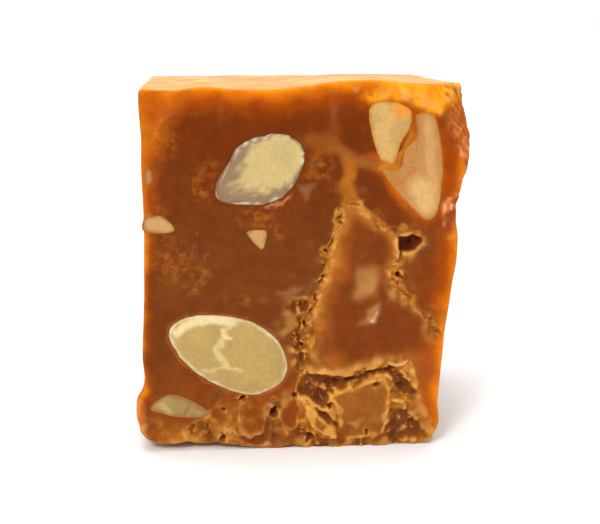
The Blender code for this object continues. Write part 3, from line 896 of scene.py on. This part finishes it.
def make_fudge(material):
    """The block: its sides' relief and colours, with the front face's own over them."""
    points, triangles, normals = build_block()
    front = ease(0.45, 0.75, -normals[:, 1])
    here = points[:, [0, 2]]
    sunk = side_relief(points) * (1 - front)
    crumb = side_crumb(points)
    for face, route, half_width, depth in HIDDEN_FISSURES:
        facing, spot = hidden_face(face, points, normals)
        sunk[facing] += depth * fissure_opening(spot[facing], route, half_width)
        lips = 0.6 * ease(0.9, 0.2, route_gap(ragged(spot[facing], 1.8, 0.7, 21), route))
        crumb[facing] = np.maximum(crumb[facing], lips)
    ground = sunk.copy()
    for face, outline in HIDDEN_OUTLINES.values():
        facing, spot = hidden_face(face, points, normals)
        sunk = np.where(facing, almond_seat(sunk, inside(spot, outline)), sunk)
    pick = front > 0
    share = front[pick]
    face_sunk = front_relief(here[pick])
    sunk[pick] += face_sunk * share
    colour, cloud = side_tint(points, normals), 0.8 * ease(0.0, 0.6, noise(points, 6.5, 66, 2))
    face_colour, face_cloud = front_tint(here[pick])
    crumb_here = crumbliness(here[pick])
    colour[pick] = colour[pick] * (1 - share[:, None]) + face_colour * share[:, None]
    cloud[pick] = cloud[pick] * (1 - share) + face_cloud * share
    for outline, _, _ in PLATE_OUTLINES[:2]:
        crumb_here *= 1 - 0.75 * ease(0.2, 0.9, inside(ragged(here[pick], 1.0, 0.3, 65), outline))
    crumb[pick] = crumb[pick] * (1 - share) + crumb_here * share
    colour = facet_tint(colour, points)
    shown = np.minimum(sunk, 3.0)
    for outline in FRONT_OUTLINES.values():
        shown[pick] = np.where(inside(here[pick], outline) > -0.25, 0.0, shown[pick])
    shown = np.where(pick, shown, np.minimum(ground, 1.0))
    colour = crumb_tint(colour, points, crumb, shown, triangles)
    # Painted shade: the hole is painted dark red down its walls and over its floor, as shade in the recess.
    outline, _, slope = HOLLOW_OUTLINES["hole"]
    colour[pick] = lay(colour[pick], HOLE_RED, 0.9 * hollow_depth(here[pick], outline, slope))
    moved = points - normals * (sunk + swell(points))[:, None]
    moved[:, 2] = np.maximum(moved[:, 2], 0)
    block = add_mesh("fudge_block", moved, triangles, material, colour, cloud=cloud, crumb=crumb)
    finish(block, "fudge")


def hidden_face(face, points, normals):
    """Which points lie on that hidden face, and their places on it."""
    axis, end = FACE_ENDS[face]
    return normals[:, axis] * np.sign(end) > 0.7, points[:, [1 - axis, 2]]


def onto_face(face, spots, inwards):
    """Points that lie this far inside a face, at these (along, up) places on it."""
    along_face, up = spots.T
    if face in ("front", "back"):
        depth = FRONT + inwards if face == "front" else BACK - inwards
        return np.stack([along_face, np.broadcast_to(depth, len(spots)), up], axis=1)
    side, at_back, sign = (LEFT_SIDE, BACK_LEFT, 1) if face == "left" else (RIGHT_SIDE, BACK_RIGHT, -1)
    return np.stack([side_at(side, at_back, along_face, up) + sign * inwards, along_face, up], axis=1)


def cut_nut(face, outline, depth, rings, proud, seed, fray=0.0, drop=CUT_DROP, lumps=0.05):
    """A nut cut through at a face: its points, its triangles, and each point's place and distance inside.

    A point's place is on the face. Its distance is from the outline, and below 0 on the wall. The rim is
    uneven by fray and rounded down by drop, and the whole stands proud of the face.
    """
    outline = ragged(outline, 0.9, 0.06 + fray, seed)
    count = len(outline)
    centre = outline.mean(axis=0)
    share = np.linspace(0.02, 1, rings) ** 0.75
    flat = (centre + (outline[None] - centre) * share[:, None, None]).reshape(-1, 2)
    within = np.maximum(inside(flat, outline), 0)
    within[-count:] = 0
    frayed = fray * noise(flat, 0.5, seed + 3, 2) * ease(0.9, 0.1, within)
    inwards = -proud - (lumps * noise(flat, 1.6, seed, 3) + frayed) + drop * ease(0.28, 0.0, within)
    layers = [onto_face(face, flat, inwards + swell(onto_face(face, flat, 0.0)))]
    for step, shrink in ((0.4, 1.0), (1.0, 0.985), (depth, 0.8)):
        layers.append(onto_face(face, centre + (outline - centre) * shrink, step))
    points = np.vstack(layers)
    first, last = len(points) - count, len(points)
    points = np.vstack([points, points[:count].mean(axis=0), points[first:].mean(axis=0)])
    k = np.arange(count)
    after, tip = (k + 1) % count, np.full(count, last)
    a = np.arange(0, first, count)[:, None] + k
    b, c, d = a - k + after, a - k + after + count, a + count
    walls = np.stack([a, c, d, a, b, c], axis=-1).reshape(-1, 3)
    ends = np.stack([tip, after, k, tip + 1, first + k, first + after], axis=-1).reshape(-1, 3)
    triangles = np.vstack([walls, ends])
    places = np.vstack([flat] + [outline] * 3 + [centre[None]] * 2)
    within = np.concatenate([within, np.full(3 * count, -1.0), [within[0], -1.0]])
    a, b, c = points[triangles].transpose(1, 0, 2)
    if np.einsum("ij,ij->i", a, np.cross(b, c)).sum() <= 0:
        triangles = triangles[:, ::-1]
    return points, triangles, places, within


# How each front almond looks: colours of its middle and rim, its rim's width, and how frayed it is
ALMOND_LOOKS = {
    "almond_upper": (look(202, 178, 118), look(150, 120, 92), 2.4, 0.12),
    "almond_lower": (look(185, 155, 92), look(218, 190, 138), 0.35, 0.06),
    "almond_foot": (look(166, 138, 80), look(160, 112, 66), 0.8, 0.06),
    "almond_split_left": (look(198, 156, 92), look(196, 122, 44), 0.5, 0.03),
    "almond_split_right": (look(190, 136, 78), look(190, 118, 40), 0.45, 0.03),
}
HIDDEN_LOOKS = (
    (look(194, 162, 98), look(218, 190, 138), 0.35, 0.06),
    (look(202, 176, 116), look(158, 126, 94), 1.0, 0.10),
)


def hidden_look(name):
    """A hidden almond's look, as above: the two take turns."""
    return HIDDEN_LOOKS[sorted(HIDDEN_ALMONDS).index(name) % 2]


def seam_marks(name):
    """The pale line where a hidden almond's halves meet, with a shorter one from it on some."""
    number, spec = list(HIDDEN_ALMONDS).index(name), HIDDEN_ALMONDS[name][1:]
    pale, side = look(222, 196, 140), 1 - number % 2 * 2
    bend = 0.1 + 0.07 * number
    long = on_almond(spec, (-0.7, -0.3, 0.1, 0.6), np.array((0.05, 0.12 + bend, 0.02, bend)) * side)
    short = on_almond(spec, (-0.3, -0.1, 0.05), np.array((0.1 + bend, -0.25, -0.55)) * side)
    marks = (long, 0.24, pale, 0.7), (short, 0.15, pale, 0.5)
    return marks if number % 3 else marks[:1]


# Pale lines and lumps on the front almonds: route, half width, colour, amount
ALMOND_MARKS = {
    "almond_lower": (
        (((-9.0, 16.4), (-9.6, 14.6), (-10.7, 13.0), (-9.2, 11.0)), 0.38, look(222, 196, 138), 0.8),
        (((-12.0, 10.2), (-9.8, 11.0), (-7.5, 10.3)), 0.20, look(222, 192, 136), 0.7),
        (((-15.4, 15.4), (-13.6, 16.8), (-11.0, 17.1), (-8.6, 16.6)), 0.50, look(232, 212, 160), 0.95),
        (((-9.8, 15.6), (-8.8, 14.6)), 0.25, look(236, 214, 160), 0.8),
    ),
    "almond_foot": (
        (((-14.4, 7.0), (-13.9, 5.9), (-14.6, 4.8)), 0.20, look(138, 100, 60), 0.7),
        (((-17.6, 6.4), (-16.4, 5.2)), 0.35, look(200, 172, 116), 0.6),
    ),
    "almond_split_right": (
        (((10.2, 35.2), (11.0, 34.2), (12.0, 33.4)), 0.9, look(184, 122, 56), 0.7),
        (((11.0, 33.4), (13.9, 35.5)), 0.22, look(190, 124, 56), 0.7),
        (((12.6, 37.4), (13.2, 38.6), (14.1, 40.0)), 0.25, look(192, 126, 56), 0.6),
        (((14.2, 33.2), (15.2, 31.2)), 1.3, look(216, 176, 110), 0.85),
        (((15.0, 40.8), (15.4, 37.0), (16.0, 33.0)), 0.6, look(212, 166, 104), 0.6),
    ),
    "almond_split_left": (
        (((9.4, 42.8), (10.4, 41.6), (9.6, 39.6), (10.2, 37.4)), 0.9, look(212, 172, 104), 0.7),
    ),
}


def nut_tint(name, places, within, seed):
    """A cut nut's colours: a smooth middle, a frayed rim, fine streaks and its own marks."""
    middle, rim, width, _ = ALMOND_LOOKS.get(name) or hidden_look(name)
    centre = places.mean(axis=0)
    x, z = (places - centre).T
    streak = noise(np.stack([np.arctan2(z, x) * 4, within * 0.35], axis=1), 0.22, seed + 1, 2)
    colour = np.tile(middle, (len(places), 1)) * (1 + 0.06 * noise(places, 2.5, seed + 2, 2))[:, None]
    reach = np.full(len(places), width)
    if name == "almond_upper":
        lean = (places - centre) @ np.array((-0.8, -0.6)) / 5
        reach *= ease(-0.9, 0.9, lean) + 0.12
    colour = lay(colour, rim, ease(1.15, 0.4, within / reach + 0.3 * streak))
    marks = seam_marks(name) if name in HIDDEN_ALMONDS else ALMOND_MARKS.get(name, ())
    loose = ragged(places, 0.8, 0.2, seed + 4)
    for route, half_width, shade, amount in marks:
        on = ease(half_width * 1.5, half_width * 0.4, route_gap(loose, route))
        colour = lay(colour, shade, amount * on)
    if name == "almond_upper":
        tip = ease(-0.2, 0.9, lean)
        colour = lay(colour, look(134, 88, 58), 0.75 * tip * ease(0.8, 0.0, within))
    if name in ("almond_upper", "almond_lower") or name in HIDDEN_ALMONDS:
        crystals = ease(0.1, 0.5, noise(places, 0.5, seed + 6, 2)) * ease(0.7, 0.0, within)
        colour = lay(colour, look(232, 216, 186), 0.85 * crystals)
    # Painted glow: the film of fudge over the split almonds' tops, in the glowing orange of the lit top edge.
    if name.startswith("almond_split"):
        height = places[:, 1] + 0.7 * noise(places, 1.5, seed + 5, 2)
        glowing_glaze = ease(41.2, 42.8, height) * ease(10.2, 11.6, places[:, 0])
        colour = lay(colour, look(236, 150, 50), 0.85 * glowing_glaze)
    return colour * (1 + 0.05 * streak)[:, None]


def make_almonds(material):
    """Every almond's cut face and the wall behind it."""
    cuts = [(name, "front", outline) for name, outline in FRONT_OUTLINES.items()]
    cuts += [(name, face, outline) for name, (face, outline) in HIDDEN_OUTLINES.items()]
    for number, (name, face, outline) in enumerate(cuts):
        fray = (ALMOND_LOOKS.get(name) or hidden_look(name))[3]
        seed = 70 + 10 * number
        drop = FILMED_DROP if name in FILMED else CUT_DROP
        cut = cut_nut(face, outline, 2.4, 30, 0.03, seed, fray, drop)
        points, triangles, places, within = cut
        tint = nut_tint(name, places, within, seed)
        piece = add_mesh(name + "_cut", points, triangles, material, tint)
        finish(piece, name)


# Small bits of nut at the front face
FRONT_BITS = (
    ((-6.9, 28), (-4.2, 28.1), (-4.8, 25.6)),
    ((-18.8, 29.8), (-16.5, 30), (-15.2, 28), (-18.8, 28)),
    ((-18.6, 35.6), (-17.7, 35.6), (-17.6, 34.2), (-18.5, 33.8)),
)
# How many small bits the hidden faces show
HIDDEN_BITS = {"back": 11, "left": 6, "right": 4}
# How far the hidden bits' middles stay from an almond, in millimetres
BIT_CLEARANCE = 2.0


def bit_outlines():
    """Each small bit of nut: its face and its outline."""
    for outline in FRONT_BITS:
        yield "front", closed_curve(outline, 4)
    dice = np.random.default_rng(SEED)
    for face, count in HIDDEN_BITS.items():
        reach = 15.5 if face == "back" else 11.5
        placed = 0
        while placed < count:
            centre = np.array([dice.uniform(-reach, reach), dice.uniform(5, 41)])
            angles = (np.arange(6) + dice.uniform(-0.35, 0.35, 6)) * np.pi / 3
            size = dice.uniform(0.7, 1.7)
            oval = np.stack([np.cos(angles) * dice.uniform(0.8, 1.5), np.sin(angles)], axis=1)
            taken = [outline for other, outline in HIDDEN_OUTLINES.values() if other == face]
            if all(inside(centre[None], outline)[0] < -BIT_CLEARANCE for outline in taken):
                placed += 1
                yield face, closed_curve(centre + size * oval, 4)


def make_bits(material):
    """All the small bits of nut, joined."""
    parts = []
    for number, (face, outline) in enumerate(bit_outlines()):
        cut = cut_nut(face, outline, 1.0, 8, 0.05, 200 + number, drop=0.08, lumps=0.02)
        points, triangles, places, within = cut
        pale = look(192, 148, 92) * (0.85 + 0.3 * hashed(np.array([[number, 1]]), 5)[0])
        worn = ease(0.6, 0.0, within + 0.25 * noise(places, 0.9, 9, 2))
        tint = lay(np.tile(pale, (len(points), 1)), look(150, 88, 38), 0.8 * worn)
        parts.append((points, triangles, tint))
    bits = add_joined("nut_bits", parts, material)
    finish(bits)


def pebble():
    """A round lump of 42 points, to be made uneven."""
    bpy.ops.mesh.primitive_ico_sphere_add(subdivisions=2, radius=1)
    shape = bpy.context.object
    points = np.array([vertex.co for vertex in shape.data.vertices])
    triangles = np.array([face.vertices for face in shape.data.polygons])
    bpy.data.objects.remove(shape, do_unlink=True)
    return points, triangles


# How many loose crumbs there are, and how many spots are tried for them
CRUMBS, CRUMB_SPOTS = 130, 12000


def make_crumbs(material):
    """Loose and half-sunk crumbs on the crumbly ground of the front face."""
    dice = np.random.default_rng(SEED + 1)
    ball, faces = pebble()
    tried = np.stack([dice.uniform(-19, 16, CRUMB_SPOTS), dice.uniform(2.0, 33, CRUMB_SPOTS)], axis=1)
    chance = crumbliness(tried)
    for outline in FRONT_OUTLINES.values():
        chance = np.where(inside(tried, outline) > -0.35, 0, chance)
    for outline, _, _ in PLATE_OUTLINES:
        chance = np.where(inside(tried, outline) > 0, 0.4 * chance, chance)
    spots = tried[chance > dice.uniform(0.35, 1.2, len(tried))][:CRUMBS]
    parts = []
    for number, (spot, depth) in enumerate(zip(spots, front_relief(spots))):
        size = 0.09 + 0.26 * dice.random() ** 2.6
        lump = ball * size * dice.uniform(0.5, 1.6, 3)
        lump *= (1 + 0.55 * noise(ball, 0.9, 300 + number % 40, 2))[:, None]
        depth += swell(np.array([[spot[0], FRONT, spot[1]]]))[0]
        centre = np.array([spot[0], FRONT + depth - 0.1 * size, spot[1]])
        shade = dice.random()
        tint = np.tile(BROWN * (1 - shade) + TAN * shade, (len(ball), 1))
        parts.append((lump + centre, faces, tint))
    crumbs = add_joined("crumbs", parts, material, cloud=0.3, crumb=1.0)
    finish(crumbs)


def finish(piece, node=None):
    """Puts the piece on the frame's one body, and hides the CAD part that it stands for, if one is given."""
    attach(piece, "root")
    if node:
        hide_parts(node)


# ---- materials


class Nodes:
    """A material's node tree, with short calls to add and join nodes."""

    def __init__(self, name):
        self.material = bpy.data.materials.new(name)
        self.material.use_nodes = True
        self.tree = self.material.node_tree

    def fill(self, node, inputs):
        """Sets the node's inputs, by name or number, to values or to what comes out of other nodes."""
        for name, value in inputs.items():
            if isinstance(value, bpy.types.NodeSocket):
                self.tree.links.new(value, node.inputs[name])
            else:
                node.inputs[name].default_value = value

    def add(self, kind, inputs=None, **settings):
        node = self.tree.nodes.new(kind)
        for name, value in settings.items():
            setattr(node, name, value)
        self.fill(node, inputs or {})
        return node

    def shade(self, inputs):
        """Sets the shader's inputs and gives the material."""
        self.fill(self.tree.nodes["Principled BSDF"], inputs)
        return self.material

    def grain(self, size, detail=2.0, roughness=0.5, stretch=None):
        """Noise whose lumps are of this size in millimetres, from 0 to 1."""
        where = self.add("ShaderNodeTexCoord").outputs["Object"]
        if stretch:
            where = self.add("ShaderNodeMapping", {"Vector": where, "Scale": stretch}).outputs["Vector"]
        inputs = {"Vector": where, "Scale": 1 / (size * MM), "Detail": detail, "Roughness": roughness}
        return self.add("ShaderNodeTexNoise", inputs).outputs["Fac"]

    def reach(self, value, low, high, to_low=0.0, to_high=1.0):
        """The value's run from low to high turned to a run from to_low to to_high, and held beyond it."""
        inputs = {"Value": value, "From Min": low, "From Max": high, "To Min": to_low, "To Max": to_high}
        return self.add("ShaderNodeMapRange", inputs, interpolation_type="SMOOTHSTEP").outputs["Result"]

    def math(self, operation, first, second):
        return self.add("ShaderNodeMath", {0: first, 1: second}, operation=operation).outputs[0]

    def mix(self, share, first, second, blend="MIX"):
        """Two colours mixed, with this share of the second."""
        inputs = {0: share, 6: first, 7: second}
        return self.add("ShaderNodeMix", inputs, data_type="RGBA", blend_type=blend).outputs[2]

    def mask(self, name, output="Fac"):
        return self.add("ShaderNodeAttribute", attribute_name=name).outputs[output]

    def bump(self, height, strength, distance, onto=None):
        """A normal bent by this height, on top of another one if it is given."""
        inputs = {"Height": height, "Strength": strength, "Distance": distance * MM}
        if onto:
            inputs["Normal"] = onto
        return self.add("ShaderNodeBump", inputs).outputs["Normal"]


# How deep light gets into the block, in millimetres
FUDGE_GLOW = 0.5


def fudge_material(name, glow):
    """Caramel fudge that light gets into as deep as glow, in millimetres."""
    nodes = Nodes(name)
    cloud, crumb = nodes.mask("cloud"), nodes.mask("crumb")
    crystals = nodes.math("MULTIPLY", nodes.reach(nodes.grain(0.9, 4.0, 0.62), 0.42, 0.68), cloud)
    crystals = nodes.math("MULTIPLY", crystals, 0.5)
    colour = nodes.mix(crystals, nodes.mask("tint", "Color"), (*look(204, 124, 38), 1.0))
    mottled = nodes.reach(nodes.grain(1.6, 4.0, 0.6), 0.3, 0.7, 0.88, 1.12)
    rough = nodes.reach(nodes.grain(2.5, 3.0), 0.3, 0.7, 0.38, 0.52)
    scratches = nodes.grain(0.5, 3.0, 0.6, stretch=(0.12, 1.0, 1.0))
    dust = nodes.math("MULTIPLY", nodes.grain(0.18), nodes.math("ADD", crumb, 0.15))
    inputs = {
        "Base Color": nodes.mix(1.0, colour, mottled, "MULTIPLY"),
        "Roughness": nodes.math("ADD", rough, nodes.math("MULTIPLY", crumb, 0.25)),
        "Normal": nodes.bump(dust, 0.8, 0.10, nodes.bump(scratches, 0.35, 0.05)),
        "Specular IOR Level": 0.06,
    }
    if glow:
        inputs["Subsurface Weight"] = 1.0
        inputs["Subsurface Radius"] = (1.0, 0.38, 0.14)
        inputs["Subsurface Scale"] = glow * MM
    return nodes.shade(inputs)


def nut_material():
    """The cut face of an almond."""
    nodes = Nodes("cut_almond")
    mottled = nodes.reach(nodes.grain(0.5, 4.0, 0.6), 0.3, 0.7, 0.93, 1.05)
    inputs = {
        "Base Color": nodes.mix(1.0, nodes.mask("tint", "Color"), mottled, "MULTIPLY"),
        "Roughness": nodes.reach(nodes.grain(0.8), 0.3, 0.7, 0.5, 0.7),
        "Normal": nodes.bump(nodes.grain(0.22, 3.0), 0.5, 0.06),
        "Specular IOR Level": 0.2,
        "Subsurface Weight": 0.35,
        "Subsurface Radius": (1.0, 0.7, 0.4),
        "Subsurface Scale": 0.8 * MM,
    }
    return nodes.shade(inputs)


# ---- stage, lights and camera


def make_floor():
    """A plain pale floor that curves up far behind the piece."""
    width, near, far, rise, bend = 3.0, -1.2, 1.0, 1.6, 0.6
    turns = np.linspace(0.1, math.pi / 2, 12)
    curve = [(far + bend * math.sin(turn), bend - bend * math.cos(turn)) for turn in turns]
    profile = [(near, 0.0), (far, 0.0), *curve, (far + bend, rise)]
    points = [(side * width, y, z) for y, z in profile for side in (-1, 1)]
    faces = [(2 * k, 2 * k + 1, 2 * k + 3, 2 * k + 2) for k in range(len(profile) - 1)]
    data = bpy.data.meshes.new("floor")
    data.from_pydata(points, [], faces)
    data.shade_smooth()
    nodes = Nodes("floor")
    pale = nodes.reach(nodes.grain(40.0), 0.3, 0.7, 0.90, 0.93)
    data.materials.append(nodes.shade({"Base Color": pale, "Roughness": 0.9, "Specular IOR Level": 0.1}))
    floor = placed("floor", data)


def aim(thing, place, target):
    """Puts a light or a camera at a place, so that it looks at the target."""
    thing.location = place
    thing.rotation_euler = (Vector(target) - Vector(place)).to_track_quat("-Z", "Y").to_euler()


def make_light(name, place, target, size, power):
    """A round lamp of this size in metres and this power in watts."""
    lamp = bpy.data.lights.new(name, "AREA")
    lamp.shape = "DISK"
    lamp.size = size
    lamp.energy = power
    aim(placed(name, lamp), place, target)


def make_lights(target):
    """An even white world, three lamps round the piece and one for the floor behind it."""
    world = bpy.data.worlds.new("world")
    world.use_nodes = True
    background = world.node_tree.nodes["Background"]
    background.inputs["Color"].default_value = (1, 1, 1, 1)
    background.inputs["Strength"].default_value = 0.5
    bpy.context.scene.world = world
    make_light("overhead", (-0.05, -0.06, 0.55), target, 0.30, 1.0)
    make_light("key", (-0.22, -0.42, 0.42), target, 0.16, 1.7)
    make_light("fill", (0.40, -0.45, 0.18), target, 0.40, 0.35)
    make_light("backdrop", (0.0, 0.45, 1.3), (0.0, 1.4, 0.3), 1.2, 14.0)


# Where the camera stands and looks, in metres, and its focal length in millimetres
CAMERA_PLACE = np.array((-9.08, -141.94, 53.53)) * MM
CAMERA_TARGET = np.array((-0.2, -15.0, 24.15)) * MM
FOCAL_LENGTH = 64.44


def make_camera():
    """The camera that the picture is taken with."""
    lens = bpy.data.cameras.new("camera")
    lens.lens = FOCAL_LENGTH
    lens.sensor_width = 36.0
    lens.clip_start = 0.01
    camera = placed("camera", lens)
    aim(camera, CAMERA_PLACE, CAMERA_TARGET)
    bpy.context.scene.camera = camera


nut = nut_material()
make_fudge(fudge_material("caramel_fudge", FUDGE_GLOW))
make_almonds(nut)
make_bits(nut)
make_crumbs(fudge_material("fudge_crumbs", 0))
make_floor()
make_lights(CAMERA_TARGET)
make_camera()
bpy.context.scene.view_settings.view_transform = "Standard"
